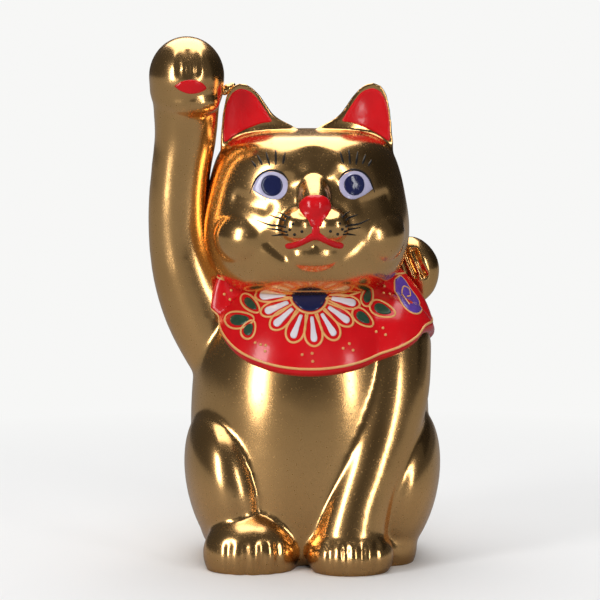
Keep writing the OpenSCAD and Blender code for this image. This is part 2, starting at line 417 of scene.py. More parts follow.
def toe_grooves(points, grooves, back):
    """Presses upright grooves into the front of a paw that stands on the ground."""
    for x, y, share in grooves:
        depth = TOE_DEPTH * share
        path = [(x, back, TOE_TOP), (x, (y + back) / 2 - 2, TOE_TOP - 1), (x, y, TOE_TOP / 2), (x, y, 0)]
        brush(points, path, TOE_REACH, (0, depth, -0.3 * depth))


def work_body():
    points = points_of(body)
    toe_grooves(points, FORE_TOES, -66)
    toe_grooves(points, HIND_TOES, -56)
    for x, share in RAISED_TOES:
        brush(points, [(x, -30, 258), (x, -34, 247)], 1.9, (0, 1.2 * share, -0.2))
    reshape(body, points)


work_body()
print("pressed", len(FORE_TOES + HIND_TOES + RAISED_TOES), "grooves")

# %% Base and vent
VENT_R, VENT_Y, VENT_DEEP = 8, 14, 40


def stand(piece):
    """Cuts a skin level with the ground and closes it there, but for the firing vent."""
    bm = bmesh.new()
    bm.from_mesh(piece.data)
    everything = bm.verts[:] + bm.edges[:] + bm.faces[:]
    bmesh.ops.bisect_plane(bm, geom=everything, plane_no=(0, 0, -1), clear_outer=True)
    rim = [e for e in bm.edges if e.is_boundary]
    place = Matrix.Translation((0, VENT_Y * MM, 0))
    ring = bmesh.ops.create_circle(bm, segments=48, radius=VENT_R * MM, matrix=place)["verts"]
    mouth = edges_round(ring)
    bmesh.ops.triangle_fill(bm, edges=rim + mouth, use_beauty=True)
    grown = bmesh.ops.extrude_edge_only(bm, edges=mouth)["geom"]
    bmesh.ops.translate(bm, vec=(0, 0, VENT_DEEP * MM), verts=verts_in(grown))
    bmesh.ops.contextual_create(bm, geom=[e for e in bm.edges if e.is_boundary])
    bmesh.ops.recalc_face_normals(bm, faces=bm.faces[:])
    bm.to_mesh(piece.data)
    bm.free()


stand(body)
print("base cut, with a vent of", VENT_R, "mm radius")

# %% [markdown]
# ## Sharing the skin out
# The castings meet in soft joints, but each is a piece of its own. Every face of the skin goes to the
# casting whose lump lies nearest under it. Stray specks are dropped, the cut edges are closed inside
# the clay, and each piece keeps the whole skin's normals, so that the gold runs on across a joint
# without a line.


# %% Whose share a face is
def ball_share(centres, path):
    """For each centre, its distance from a limb's middle as a share of the limb's radius."""
    balls = np.array(curve_through(path, 4))
    gap = np.linalg.norm(centres[:, None] - balls[:, :3] * MM, axis=2)
    return (gap / (balls[:, 3] * MM)).min(axis=1)


def egg_share(centres, centre, half, turn):
    """The same, for an ellipsoid."""
    turned_back = np.array(Euler([math.radians(a) for a in turn]).to_matrix())
    local = (centres - np.array(centre) * MM) @ turned_back / (np.array(half) * MM)
    return np.linalg.norm(local, axis=1)


def torso_share(centres):
    line = curve_through([(r, 0, z) for r, z in TORSO[1:]], 6)
    radius = np.interp(centres[:, 2], [p.z * MM for p in line], [p.x * MM for p in line])
    return np.hypot(centres[:, 0], centres[:, 1] / FLAT) / radius


def face_centres(piece):
    flat = np.empty(len(piece.data.polygons) * 3)
    piece.data.polygons.foreach_get("center", flat)
    return flat.reshape(-1, 3)


# %% Pieces from a skin
def piece_from(name, bm, finish, slot, *nodes):
    """A finished piece that rides on the body."""
    piece = linked(name, bm)
    mesh = piece.data
    mesh.materials.append(finish)
    for face in mesh.polygons:
        face.use_smooth = True
    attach(piece, BODY)
    if nodes:
        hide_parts(*nodes)
    print(name, len(mesh.polygons), "faces")
    return piece


COVER_DEPTH = 0.35  # how far a cover's middle moves to the figure's axis, as a share of the way
SPECK = 12  # a group with fewer faces than this is dropped


def islands(bm):
    """The groups of faces that hang together."""
    left = set(bm.faces)
    while left:
        group, reached = [], [left.pop()]
        while reached:
            face = reached.pop()
            group.append(face)
            near = {f for e in face.edges for f in e.link_faces} & left
            left -= near
            reached.extend(near)
        yield group


def shared_out(skin, shares):
    """Makes one closed gold piece of each casting's share of a skin, and removes the skin.

    shares is {node: each face's measure}, and the smallest measure takes the face.
    """
    owner = np.argmin(np.array(list(shares.values())), axis=0)
    whole = bmesh.new()
    whole.from_mesh(skin.data)
    facing = [v.normal.copy() for v in whole.verts]
    mark = whole.verts.layers.int.new("whole")
    for v in whole.verts:
        v[mark] = v.index
    whole.faces.ensure_lookup_table()
    for number, node in enumerate(shares):
        part = whole.copy()
        part.faces.ensure_lookup_table()
        others = [part.faces[i] for i in np.flatnonzero(owner != number)]
        bmesh.ops.delete(part, geom=others, context="FACES")
        specks = [face for group in islands(part) if len(group) < SPECK for face in group]
        bmesh.ops.delete(part, geom=specks, context="FACES")
        cut_edges = [e for e in part.edges if e.is_boundary]
        covers = bmesh.ops.holes_fill(part, edges=cut_edges, sides=0)["faces"]
        for hub in bmesh.ops.poke(part, faces=covers)["verts"]:
            hub.co = hub.co.lerp(Vector((0, 0, hub.co.z)), COVER_DEPTH)
        place = part.verts.layers.int["whole"]
        normals = [facing[v[place]] for v in part.verts]
        piece = piece_from(node + "_skin", part, GOLD, "gold", node)
        piece.data.normals_split_custom_set_from_vertices(normals)
    whole.free()
    bpy.data.objects.remove(skin)


# %% The body's pieces
BODY_SKIN = surface_of(body)
middles = face_centres(body)
near = [torso_share(middles), ball_share(middles, SHOULDER), ball_share(middles, ARMPIT)]
body_shares = {"torso": np.minimum.reduce(near)}
for node, (limbs, eggs) in CASTINGS.items():
    near = [ball_share(middles, path) for path in limbs] + [egg_share(middles, *e) for e in eggs]
    body_shares[node] = np.minimum.reduce(near)
shared_out(body, body_shares)

# %% [markdown]
# ## The head
# A squat turned drum, with flat plates for the ears and small lumps for the cheeks, the muzzle and the
# chin. The face is then pressed with brushes: eye sockets, the dip of the brow, and dimples.

# %% Head lumps
HEAD = (-2.5, -6)
SKULL = [(0, 133), (20, 133.5), (34, 136), (43, 141), (49, 149), (52, 160), (52.2, 171), (50.4, 183),
         (47.8, 195), (44, 205), (38, 212), (28, 215.4), (14, 216.6), (0, 216.8)]
EAR = [(2, 205), (3, 216), (5, 218), (8, 219.9), (11, 221.3), (14, 222.9), (17.2, 225.6), (19.9, 229.4),
       (23, 234), (26.4, 237.8), (30.4, 240.5), (34.2, 240.9), (37.8, 239.3), (40.6, 235.2), (42.6, 226),
       (43.8, 213), (44, 205), (43, 198)]
EAR_FRONT, EAR_BACK, EAR_SLOPE = -12, 4, 0.84
NOSE_BRIDGE = [(-47.5, 190.5, 7.5), (-51, 186, 8), (-54.5, 182, 7.5)]


def on_head(x, y, z):
    return (HEAD[0] + x, y, z)


def head_lumps():
    bm = bmesh.new()
    turned(bm, SKULL, 0.94, HEAD)
    for side in (-1, 1):
        plate(bm, [(HEAD[0] + side * x, z) for x, z in EAR], EAR_BACK, EAR_FRONT, EAR_SLOPE)
        egg(bm, on_head(side * 28, -28, 165), (20, 20, 17))
        egg(bm, on_head(side * 8.2, -55.5, 172.5), (8.6, 7.5, 8.2))
    limb(bm, [(*on_head(0, y, z), radius) for y, z, radius in NOSE_BRIDGE])
    egg(bm, on_head(0, -52, 171), (17, 8, 13))
    egg(bm, on_head(0, -48, 158), (15, 10, 9))
    return bm


head = fused("head_clay", head_lumps(), voxel_mm=0.75, rounds=30)
print("head skin:", len(head.data.polygons), "faces")


# %% Work the face
# Each stroke is its path from the head's middle, its reach and its push backward
PAIRED_STROKES = [
    ([(12, -50, 192)], 6, 2.4),
    ([(20, -49, 191)], 8, 1.6),
    ([(24, -47, 181), (37, -38, 185)], 4.5, 1.7),
    ([(7, -60, 179.5)], 3, 1.5),
    ([(33, EAR_FRONT, 230), (33, EAR_FRONT, 218)], 8, 2.2),
]
BROW_STROKE = ([(0, -50, 199), (0, -49, 207)], 8, 2.8)
CHIN_STROKE = ([(0, -58, 164)], 2.2, 1.6)
DIMPLE, DIMPLE_REACH = [(22, -50, 164), (15.5, -54, 157.5)], 3.6
DIMPLE_DEPTHS = {-1: 2.0, 1: 1.0}


def stroke(points, path, reach, push, side=1):
    brush(points, [on_head(side * x, y, z) for x, y, z in path], reach, (0, push, 0))


def work_head():
    points = points_of(head)
    for side, depth in DIMPLE_DEPTHS.items():
        for path, reach, push in PAIRED_STROKES:
            stroke(points, path, reach, push, side)
        stroke(points, DIMPLE, DIMPLE_REACH, depth, side)
    stroke(points, *BROW_STROKE)
    stroke(points, *CHIN_STROKE)
    reshape(head, points)


work_head()
HEAD_SKIN = surface_of(head)
print("pressed", 2 * len(PAIRED_STROKES) + 4, "strokes")

# %% The head's pieces
# An ear is what lies over this line of (distance from the head's middle, height), and not behind it
EAR_FOOT = [(0, 300), (10, 219), (27, 216), (38, 212), (44, 206), (60, 200)]
middles = face_centres(head)
across = middles[:, 0] / MM - HEAD[0]
above = middles[:, 2] / MM - np.interp(np.abs(across), *zip(*EAR_FOOT))
head_shares = {"head": np.zeros(len(middles))}
for node, side in (("right_ear", -1), ("left_ear", 1)):
    head_shares[node] = np.where((above > 0) & (across * side > 6) & (middles[:, 1] > -17 * MM), -1, 1)
shared_out(head, head_shares)

# %% [markdown]
# ## The neck ribbon and its bow
# A rolled ribbon of clay runs round the neck, over the bib's edge, to a knot behind the left cheek.
# One plump loop shows from the front. The back of the bow is of the same make.

# %% Bow
KNOT = [((46.5, 17, 152), (6, 6.5, 7), (0, 30, 0))]
FRONT_LOOP = [(48, 17, 153, 5), (54, 16, 152, 8), (58.5, 15, 145, 9.5), (59, 14.5, 137, 8),
              (57.5, 14, 131, 5)]
REAR_LOOP = [(44, 22, 153, 5), (40, 32, 151, 8), (37, 39, 144, 9), (36, 41, 136, 7.5), (37, 40, 130, 5)]
ENDS = [[(46, 20, 148, 3.4), (x, y, 132, 4.6), (x + 1, y + 1, 116, 4.8)] for x, y in ((52, 27), (45, 36))]
PLEATS = [([(50 + x, 8, 153), (55 + x, 6, 141)], (-0.6, 3, 0.4)) for x in (0, 4.5)]
REAR_PLEATS = [([(48 + x, 24, 153), (44 + x, 34, 141)], (-2.4, -0.8, 0)) for x in (0, 4.5)]
PLEAT_REACH = 1.4


def unlinked(clay):
    """A bmesh of an object that is no longer needed."""
    bm = bmesh.new()
    bm.from_mesh(clay.data)
    bpy.data.objects.remove(clay)
    return bm


def bow_piece(node, paths, eggs=(), pleats=()):
    """One casting of the bow, with pleats pressed in toward the knot."""
    bm = bmesh.new()
    for path in paths:
        limb(bm, path)
    for one in eggs:
        egg(bm, *one)
    clay = fused(node + "_clay", bm, voxel_mm=0.6, rounds=10)
    points = points_of(clay)
    for path, push in pleats:
        brush(points, path, PLEAT_REACH, push)
    reshape(clay, points)
    piece_from(node + "_skin", unlinked(clay), GOLD, "gold", node)


bow_piece("bow_knot", [], KNOT)
bow_piece("bow_front_loop", [FRONT_LOOP], pleats=PLEATS)
bow_piece("bow_rear_loop", [REAR_LOOP], pleats=REAR_PLEATS)
bow_piece("ribbon_ends", ENDS)

# %% [markdown]
# ## The bib
# A slab of clay rolled out and laid over the chest and the left shoulder. It starts as a flat grid.
# One way of the grid runs round the body and the other from the hem up to the neck, and each point
# is laid on the chest with its height above it, which falls to nothing over a rounded hem.

# %% Chest to lay it on
def chest_lumps():
    bm = bmesh.new()
    turned(bm, TORSO, FLAT)
    limb(bm, FORELEG[:3])
    limb(bm, SHOULDER)
    limb(bm, ARMPIT)
    return bm


chest = fused("chest_form", chest_lumps(), voxel_mm=1.5, rounds=30)
CHEST = surface_of(chest)
print("chest form:", len(chest.data.polygons), "faces")

# %% The bib's outline
# Each station is (degrees round from the front, height of the hem, height of the top edge)
BIB_STATIONS = [
    (-76, 127, 147), (-66, 117.5, 144.5), (-55, 110.5, 141.5), (-40, 103.5, 140), (-20, 98.5, 138),
    (0, 97.5, 137.5), (20, 100, 138), (38, 105.5, 140), (50, 111, 142), (58, 115.5, 143.5),
    (68, 114.5, 145), (80, 109.5, 146), (92, 114, 146), (104, 124, 146), (116, 134, 146)
]
BIB_LINE = curve_through(BIB_STATIONS, 12)


def bib_station(u):
    """The stations, read at any place from 0 to 1 along the hem."""
    at = u * (len(BIB_LINE) - 1)
    low = min(int(at), len(BIB_LINE) - 2)
    return BIB_LINE[low].lerp(BIB_LINE[low + 1], at - low)


OUTSIDE = 200  # a distance that is clear of the whole figure


def outward(angle):
    """The level direction at an angle round from the front."""
    return Vector((math.sin(angle), -math.cos(angle), 0))


def seat_round(skin, degrees, height):
    """Where a level ray from outside meets a skin, and which way it faces there."""
    out = outward(math.radians(degrees))
    start = (out * OUTSIDE + Vector((0, 0, height))) * MM
    spot, facing, _, _ = skin.ray_cast(start, -out)
    return spot, facing


def rounded_rise(distance, radius):
    """The height of a slab with a rounded edge, at a distance in from that edge."""
    if distance >= radius:
        return radius
    return math.sqrt(max(radius**2 - (radius - distance) ** 2, 0))


# %% The bib's slab
BIB_THICK, BIB_LENGTH = 4.0, 200
SINK, EDGE_SINK = 1.0, 0.3
HEM_STEEPNESS = 1.25
HEM_CROWDING = 1.5  # over 1, the rows of the grid lie closer together toward the hem


def bib_mesh():
    """A flat slab of two skins, with each point then moved to its place on the chest."""
    bm = bmesh.new()
    bmesh.ops.create_grid(bm, x_segments=220, y_segments=44, size=0.5)
    for v in bm.verts:
        v.co.y = (v.co.y + 0.5) ** HEM_CROWDING
    under = verts_in(bmesh.ops.extrude_face_region(bm, geom=bm.faces[:])["geom"])
    bmesh.ops.translate(bm, vec=(0, 0, -0.01), verts=under)
    bmesh.ops.recalc_face_normals(bm, faces=bm.faces[:])
    sunk = set(under)
    for v in bm.verts:
        along, up = v.co.x + 0.5, v.co.y
        degrees, hem, top = bib_station(along)
        height = hem + (top - hem) * up
        spot, facing = seat_round(CHEST, degrees, height)
        from_end = min(along, 1 - along) * BIB_LENGTH
        rise = rounded_rise(min((height - hem) * HEM_STEEPNESS, from_end), BIB_THICK) - EDGE_SINK
        v.co = spot + facing * (-SINK if v in sunk else rise) * MM
    return bm


bib = piece_from("bib_slab", bib_mesh(), RED, "red", "bib")
bpy.data.objects.remove(chest)

# %% [markdown]
# ## Laying enamel
# The colours are slips of glass trailed and brushed on the finished skin, so they stand a little proud
# of it and follow every curve. A mark is drawn as points of (x, z), as seen from straight in front, and
# a ray finds the skin behind each point. A brushed field starts as a closed outline that is extruded
# and scaled round the section of a cushion. A trailed line starts as a small circle that is extruded
# along the way.


# %% Seats
def seat(skin, x, z):
    """Where the skin lies behind (x, z), and which way it faces there. A mark past its edge moves in."""
    for _ in range(40):
        spot, facing, _, _ = skin.ray_cast(Vector((x, -OUTSIDE, z)) * MM, Vector((0, 1, 0)))
        if spot:
            return spot, facing
        x *= 0.985
    raise ValueError("there is no skin behind this mark")


def seats_along(skin, points, steps=6):
    return [seat(skin, p.x, p.y) for p in curve_through([(x, z) for x, z in points], steps)]


# %% A brushed field
# A cushion's section, from the middle of its underside, round its rim and over its top: share of the
# outline and height, where a height of 1 is the top
SECTION = ((0.3, -1.0), (0.7, -1.0), (0.96, -0.9), (1.0, -0.4), (0.985, 0.4), (0.93, 0.85), (0.8, 1.0),
           (0.55, 1.0), (0.25, 1.0))


def field(bm, skin, outline, rise, steps=4):
    """A cushion of enamel inside an outline of (x, z) points, rounded down into the skin at its rim."""
    line = curve_through(list(outline) + [outline[0]], steps)[:-1]
    middle = sum(line, Vector((0, 0))) / len(line)
    cushion = bmesh.new()
    ring = bmesh.ops.create_circle(cushion, cap_ends=True, segments=len(line), radius=1)["verts"]
    for vert, p in zip(ring, line):
        vert.co = Vector((p.x, 0, p.y))
    pivot = Matrix.Translation(-Vector((middle.x, 0, middle.y)))
    edges = edges_round(ring)
    heights, before = {}, 1.0
    for share, height in SECTION:
        if heights:
            grown = bmesh.ops.extrude_edge_only(cushion, edges=edges)["geom"]
            ring, edges = verts_in(grown), edges_in(grown)
        bmesh.ops.scale(cushion, vec=[share / before] * 3, space=pivot, verts=ring)
        heights.update(dict.fromkeys(ring, height))
        before = share
    bmesh.ops.contextual_create(cushion, geom=edges)
    caps = [f for f in cushion.faces if len(f.verts) > 4]
    for vert in bmesh.ops.poke(cushion, faces=caps)["verts"]:
        heights[vert] = heights[vert.link_edges[0].other_vert(vert)]
    for vert in cushion.verts:
        spot, facing = seat(skin, vert.co.x, vert.co.z)
        vert.co = spot + facing * rise * heights[vert] * MM
    bmesh.ops.recalc_face_normals(cushion, faces=cushion.faces[:])
    if cushion.calc_volume(signed=True) < 0:
        bmesh.ops.reverse_faces(cushion, faces=cushion.faces[:])
    add(bm, cushion)


# %% A trailed line and a dot
def even(width):
    """One width for most of the way, halved at the ends."""
    return [(0, width * 0.5), (0.03, width), (0.97, width), (1, width * 0.5)]


def trail(bm, seats, widths, high=0.7):
    """A raised line along seats. Its widths are (share of the way, width) pairs."""
    spots = [spot for spot, _ in seats]
    last = len(spots) - 1
    slip = bmesh.new()
    ring = bmesh.ops.create_circle(slip, cap_ends=True, segments=8, radius=0.5)["verts"]
    edges = edges_round(ring)
    before = Matrix()
    for i, (spot, facing) in enumerate(seats):
        along = (spots[min(i + 1, last)] - spots[max(i - 1, 0)]).normalized()
        across = along.cross(facing).normalized()
        up = across.cross(along)
        wide = np.interp(i / last, *zip(*widths)) * MM
        now = Matrix((across * wide, up * wide * high, along * wide)).transposed().to_4x4()
        now.translation = spot
        if i:
            grown = bmesh.ops.extrude_edge_only(slip, edges=edges)["geom"]
            ring, edges = verts_in(grown), edges_in(grown)
        bmesh.ops.transform(slip, matrix=now @ before.inverted(), verts=ring)
        before = now
    bmesh.ops.contextual_create(slip, geom=edges)
    bmesh.ops.recalc_face_normals(slip, faces=slip.faces[:])
    add(bm, slip)


def dot(bm, skin, x, z, radius):
    spot, _ = seat(skin, x, z)
    bmesh.ops.create_icosphere(bm, subdivisions=2, radius=radius * MM, matrix=Matrix.Translation(spot))


# %% [markdown]
# ## The roll round the neck
# The ribbon that the bow is tied from is a thin roll of clay. It lies in the air between the head and
# the bib, so its way is worked out instead of found with rays, and it is made like a trailed line.

# %% The neck ribbon
RIBBON_R, RIBBON_LOW, RIBBON_LIFT, RIBBON_THICK = 39.5, 139.5, 5.5, 3.4
RIBBON_START, RIBBON_STEPS = math.radians(110), 96


def ribbon_seats():
    """Once round the neck, low under the chin and higher behind."""
    seats = []
    for step in range(RIBBON_STEPS + 1):
        angle = RIBBON_START + 2 * math.pi * step / RIBBON_STEPS
        rise = RIBBON_LIFT * (1 - math.cos(angle))
        middle = Vector((HEAD[0], -3, RIBBON_LOW + rise))
        out = outward(angle)
        seats.append(((middle + out * (RIBBON_R + 0.4 * rise)) * MM, out))
    return seats


roll = bmesh.new()
trail(roll, ribbon_seats(), [(0, RIBBON_THICK), (1, RIBBON_THICK)], 1.0)
piece_from("neck_ribbon_roll", roll, GOLD, "gold", "neck_ribbon")

# %% [markdown]
# ## The painted face
# The ears' red fields first, then each eye as three coats: a bluish white almond, the iris on it and a
# fine black lid over the top. The nose is a cushion of red that runs down into the mouth line.


# %% Ears
def mirrored(points, side):
    return [(HEAD[0] + side * x, z) for x, z in points]


EAR_FIELD = [(37.58, 235.72), (33.4, 237.79), (27.81, 235.91), (23.16, 230.46), (18.98, 223.88),
             (17.86, 221.25), (22.7, 220.31), (28.28, 218.24), (33.4, 215.98), (38.05, 213.16),
             (41.3, 211.1), (42.23, 213.54), (41.86, 222), (40.37, 230.46)]
ears = bmesh.new()
for side in (-1, 1):
    field(ears, HEAD_SKIN, mirrored(EAR_FIELD, side), 0.6)
piece_from("ear_fields", ears, RED, "red", "right_ear_enamel", "left_ear_enamel")

# %% Eyes
IRIS_X, IRIS_Z, IRIS_R = 20.3, 191.7, 5.4
ALMOND = [(9.7, -2.2), (7.5, 2.6), (4.3, 5.8), (0, 6.9), (-4.6, 5.6), (-7.6, 2), (-7, -3), (-4, -6.2),
          (0, -7), (4.5, -5.6), (8, -3.6)]
LID = [(10.8, -4.2), (9.4, -0.6), (7.6, 3.2), (4.4, 6.2), (0, 7.5), (-4.9, 6.1), (-8.1, 2.2)]
LASHES = [[(30, 203.5), (27.8, 200.5)], [(27, 206.3), (24.8, 201.6)], [(22.8, 207.8), (21.4, 201.4)],
          [(18.2, 209), (18.4, 201.6)], [(13.6, 208), (15, 202.2)]]
LID_WIDTHS = [(0, 0.3), (0.3, 1.1), (0.8, 1.1), (1, 0.4)]
LASH_WIDTHS = [(0, 0.3), (0.3, 1.0), (0.7, 1.35), (1, 0.4)]


def at_eye(points, side):
    return mirrored([(IRIS_X + x, IRIS_Z + z) for x, z in points], side)


whites, irises, lids = bmesh.new(), bmesh.new(), bmesh.new()
turns = [2 * math.pi * i / 12 for i in range(12)]
iris = [(IRIS_R * math.cos(a), IRIS_R * math.sin(a)) for a in turns]
for side in (-1, 1):
    field(whites, HEAD_SKIN, at_eye(ALMOND, side), 0.45)
    field(irises, HEAD_SKIN, at_eye(iris, side), 0.85)
    trail(lids, seats_along(HEAD_SKIN, at_eye(LID, side)), LID_WIDTHS)
    for lash in LASHES:
        trail(lids, seats_along(HEAD_SKIN, mirrored(lash, side)), LASH_WIDTHS)
piece_from("eye_whites", whites, EYE_WHITE, "white", "right_eye_white", "left_eye_white")
piece_from("irises", irises, NAVY, "navy", "right_iris", "left_iris")
piece_from("lids_and_lashes", lids, BLACK, "black")

# %% Nose and mouth
NOSE = [(0, 188), (4, 187.4), (7, 184.8), (7.8, 181.6), (6.4, 178.4), (3.8, 175.8), (2.4, 172.6), (0, 172),
        (-2.4, 172.6), (-3.8, 175.8), (-6.4, 178.4), (-7.8, 181.6), (-7, 184.8), (-4, 187.4)]
MOUTH = [(-14.2, 162), (-10.5, 162.9), (-6, 165), (-2.5, 167), (0, 167.8), (2.5, 167), (6, 165),
         (10.5, 162.9), (14.2, 162)]
MOUTH_WIDTHS = [(0, 2), (0.06, 3.6), (0.5, 4.4), (0.94, 3.6), (1, 2)]
UNDER_NOSE = [(0, 176), (0, 172), (0, 168)]
nose = bmesh.new()
field(nose, HEAD_SKIN, mirrored(NOSE, 1), 0.8)
trail(nose, seats_along(HEAD_SKIN, mirrored(UNDER_NOSE, 1)), even(4.6), 0.4)
trail(nose, seats_along(HEAD_SKIN, mirrored(MOUTH, 1)), MOUTH_WIDTHS, 0.4)
piece_from("nose_and_mouth_enamel", nose, RED, "red", "nose_and_mouth")

# %% Whiskers
WHISKERS = [[(18, 179), (12.8, 176.9)], [(22, 177.3), (14.8, 175.4)],
            [(28, 174.8), (21.6, 172.6), (14.6, 172.4)], [(23.2, 170.9), (14, 169.9)],
            [(21, 167.2), (13.6, 168.5)]]
WHISKER_WIDTHS = [(0, 0.3), (0.5, 1.0), (1, 1.15)]
ROOTS = [(11.5, 174), (12.9, 171.2), (10.6, 168.8), (7, 170.3)]
whiskers = bmesh.new()
for side in (-1, 1):
    for hair in WHISKERS:
        trail(whiskers, seats_along(HEAD_SKIN, mirrored(hair, side)), WHISKER_WIDTHS)
    for x, z in ROOTS:
        dot(whiskers, HEAD_SKIN, HEAD[0] + side * x, z, 0.8)
piece_from("whiskers", whiskers, BLACK, "black")

# %% The pad of the raised paw, and the bead of slip that ties the arm to the ear
pad = bmesh.new()
PAD = [(-70.2, 240.2), (-66.5, 242.6), (-61, 243.4), (-56.5, 241.8), (-54.2, 238.8), (-58, 236.8),
       (-63, 236.4), (-67.5, 238)]
field(pad, BODY_SKIN, PAD, 0.7)
piece_from("paw_pad_enamel", pad, RED, "red", "paw_pad")
tack = bmesh.new()
for offset, size in ((0, 2.6), (2.2, 1.9), (-1.8, 2.2)):
    egg(tack, (-42 + offset, -8 + offset * 0.3, 237.5 + offset * 0.6), (size, size * 0.9, size))
clay = fused("tack_clay", tack, voxel_mm=0.4, rounds=4)
piece_from("ear_tack_bead", unlinked(clay), GOLD, "gold", "ear_tack")

# %% [markdown]
# ## The bib's decoration
# Cream-gold slip is trailed from a fine nozzle: a line just inside the hem and the neck edge, a half
# flower with a dark eye, leaves beside it, a cloud on the left shoulder and groups of small dots.

# %% Lines round the bib
BIB_SKIN = surface_of(bib)
PIPING = 1.3


def bib_seats(inset, from_top, start, end, count):
    """Seats along the bib, a little in from its hem or from its neck edge."""
    seats = []
    for i in range(count):
        degrees, hem, top = bib_station(start + (end - start) * i / (count - 1))
        flare = 4 * math.exp(-(((degrees - 80) / 14) ** 2))
        height = top - inset if from_top else hem + inset + flare
        seats.append(seat_round(BIB_SKIN, degrees, height))
    return seats


piping = bmesh.new()
trail(piping, bib_seats(4.2, False, 0.02, 0.95, 220), even(PIPING))
trail(piping, bib_seats(3.0, True, 0.02, 0.90, 200), even(PIPING))
piece_from("bib_piping", piping, CREAM, "cream_gold", "bib_edge_trail")

# %% Half flower
FLOWER_X, FLOWER_Z, EYE_R = -3.8, 137.2, 8.8
# Each petal is its direction in degrees and half its width
PETALS = [(186, 2.7), (204, 3.2), (222, 3.7), (247, 4.4), (273, 4.5), (299, 4.3), (323, 3.7), (346, 3.1)]
# Each is (distance from the flower's middle, width), the edge's as a share of half the petal's width
PETAL_EDGE = [(10, 0.4), (14, 0.7), (18.5, 0.98), (22.5, 0.92), (25.2, 0.55), (26.2, 0)]
PETAL_BAR = [(11.5, 0.8), (15, 1.0), (19, 1.35), (22, 1.7), (23.6, 1.3), (24.2, 0)]


def on_flower(radius, degrees, aside=0.0):
    angle = math.radians(degrees)
    x = radius * math.cos(angle) - aside * math.sin(angle)
    z = radius * math.sin(angle) + aside * math.cos(angle)
    return (FLOWER_X + x, FLOWER_Z + 0.94 * z)


def petal(edge, degrees):
    """Out along one side of a petal to its tip, and back along the other."""
    there = [on_flower(r, degrees, wide) for r, wide in edge]
    back = [on_flower(r, degrees, -wide) for r, wide in reversed(edge[:-1])]
    return there + back


eye, white, petals = bmesh.new(), bmesh.new(), bmesh.new()
field(eye, BIB_SKIN, [on_flower(EYE_R, a) for a in range(180, 361, 15)], 0.7)
round_eye = [on_flower(EYE_R + 0.9, a) for a in range(190, 351, 20)]
trail(petals, seats_along(BIB_SKIN, round_eye), even(PIPING))
for degrees, half in PETALS:
    rim = petal([(r, share * half) for r, share in PETAL_EDGE], degrees)
    trail(petals, seats_along(BIB_SKIN, rim), even(PIPING * 0.9))
    field(white, BIB_SKIN, petal(PETAL_BAR, degrees), 0.7, steps=2)
piece_from("flower_eye", eye, NAVY, "navy", "flower_centre")
piece_from("petal_bars", white, WHITE, "white", "flower_petals")
piece_from("petal_lines", petals, CREAM, "cream_gold", "petal_trails")

# %% Leaves
# Each leaf is its middle, its half length and half width, and its lean in degrees
LEAVES = [(-38.1, 123.6, 7.0, 3.7, 12), (-34, 119.6, 4.8, 3.0, 60), (-32.4, 131.2, 5.0, 3.1, -40),
          (26.3, 134.6, 4.6, 3.0, 60), (33.2, 128.5, 6.6, 3.4, -18), (22.8, 125.1, 6.2, 3.3, -37)]


def leaf_outline(x, z, long, wide, lean, grown=1.0):
    """A pointed oval, longer on one side than the other."""
    outline = []
    turn = math.radians(lean)
    for step in range(14):
        a = 2 * math.pi * step / 14
        u, v = long * grown * math.cos(a), wide * grown * math.sin(a) * (1 - 0.25 * math.cos(a))
        leaned = (u * math.cos(turn) - v * math.sin(turn), u * math.sin(turn) + v * math.cos(turn))
        outline.append((x + leaned[0], z + leaned[1]))
    return outline


green, veins = bmesh.new(), bmesh.new()
for leaf in LEAVES:
    field(green, BIB_SKIN, leaf_outline(*leaf, grown=0.66), 0.5, steps=1)
    rim = leaf_outline(*leaf)
    trail(veins, seats_along(BIB_SKIN, rim + rim[:1], 3), even(PIPING * 0.85))
piece_from("leaf_fields", green, GREEN, "green", "leaves")

# %% The cloud
CLOUD = [(42.5, 140.5), (45.5, 142), (48, 139.6), (50.2, 136), (54.2, 130.5), (54.8, 127.5), (51.5, 125.8),
         (47.6, 126.8), (44, 130), (42.3, 135.2)]
SWIRL = [(47.5, 129.5), (45.6, 133), (46.6, 136.8), (49.4, 135.6), (50, 132.4), (47.9, 132)]
cloud = bmesh.new()
field(cloud, BIB_SKIN, CLOUD, 0.6)
trail(veins, seats_along(BIB_SKIN, CLOUD + CLOUD[:1]), even(PIPING * 0.85))
trail(veins, seats_along(BIB_SKIN, SWIRL), even(PIPING * 0.8), 1.6)
piece_from("cloud_field", cloud, PURPLE, "purple", "cloud_swirl")
piece_from("leaf_and_cloud_lines", veins, CREAM, "cream_gold", "leaf_trails")

# %% Dots
DOTS = [(-44.8, 134.9), (-42, 132.3), (-41.3, 136.8), (-31.2, 113.5), (-28.6, 112.8), (-26.2, 112.6),
        (-26.6, 109.8), (-8.7, 108.6), (-3.8, 109.2), (-3.6, 105.4), (11.8, 111.3), (15, 113.4),
        (16.8, 110.2), (29.2, 118.3), (32.7, 120), (33.8, 116.8), (36.8, 137.4), (35.4, 135), (38.6, 134.4)]
dots = bmesh.new()
for x, z in DOTS:
    dot(dots, BIB_SKIN, x, z, 0.75)
piece_from("bib_dots_enamel", dots, CREAM, "cream_gold", "bib_dots")
print("bib decorated with", len(PETALS), "petals,", len(LEAVES), "leaves and", len(DOTS), "dots")

# %% [markdown]
# ## The studio
# A pale floor that fades into the backdrop, a large soft light overhead, an upright soft light on each
# side, a weak fill from the front and a dark card behind the left shoulder. A mirror shows what is
# round it, so the lights, the card and the dimmer room are what shape the gold.


# %% Floor and card
BACKDROP = (0.93, 0.93, 0.92)
CARD_ENDS, CARD_LOW, CARD_TOP = [(0.55, -0.08), (0.22, 0.60)], 0.16, 0.75


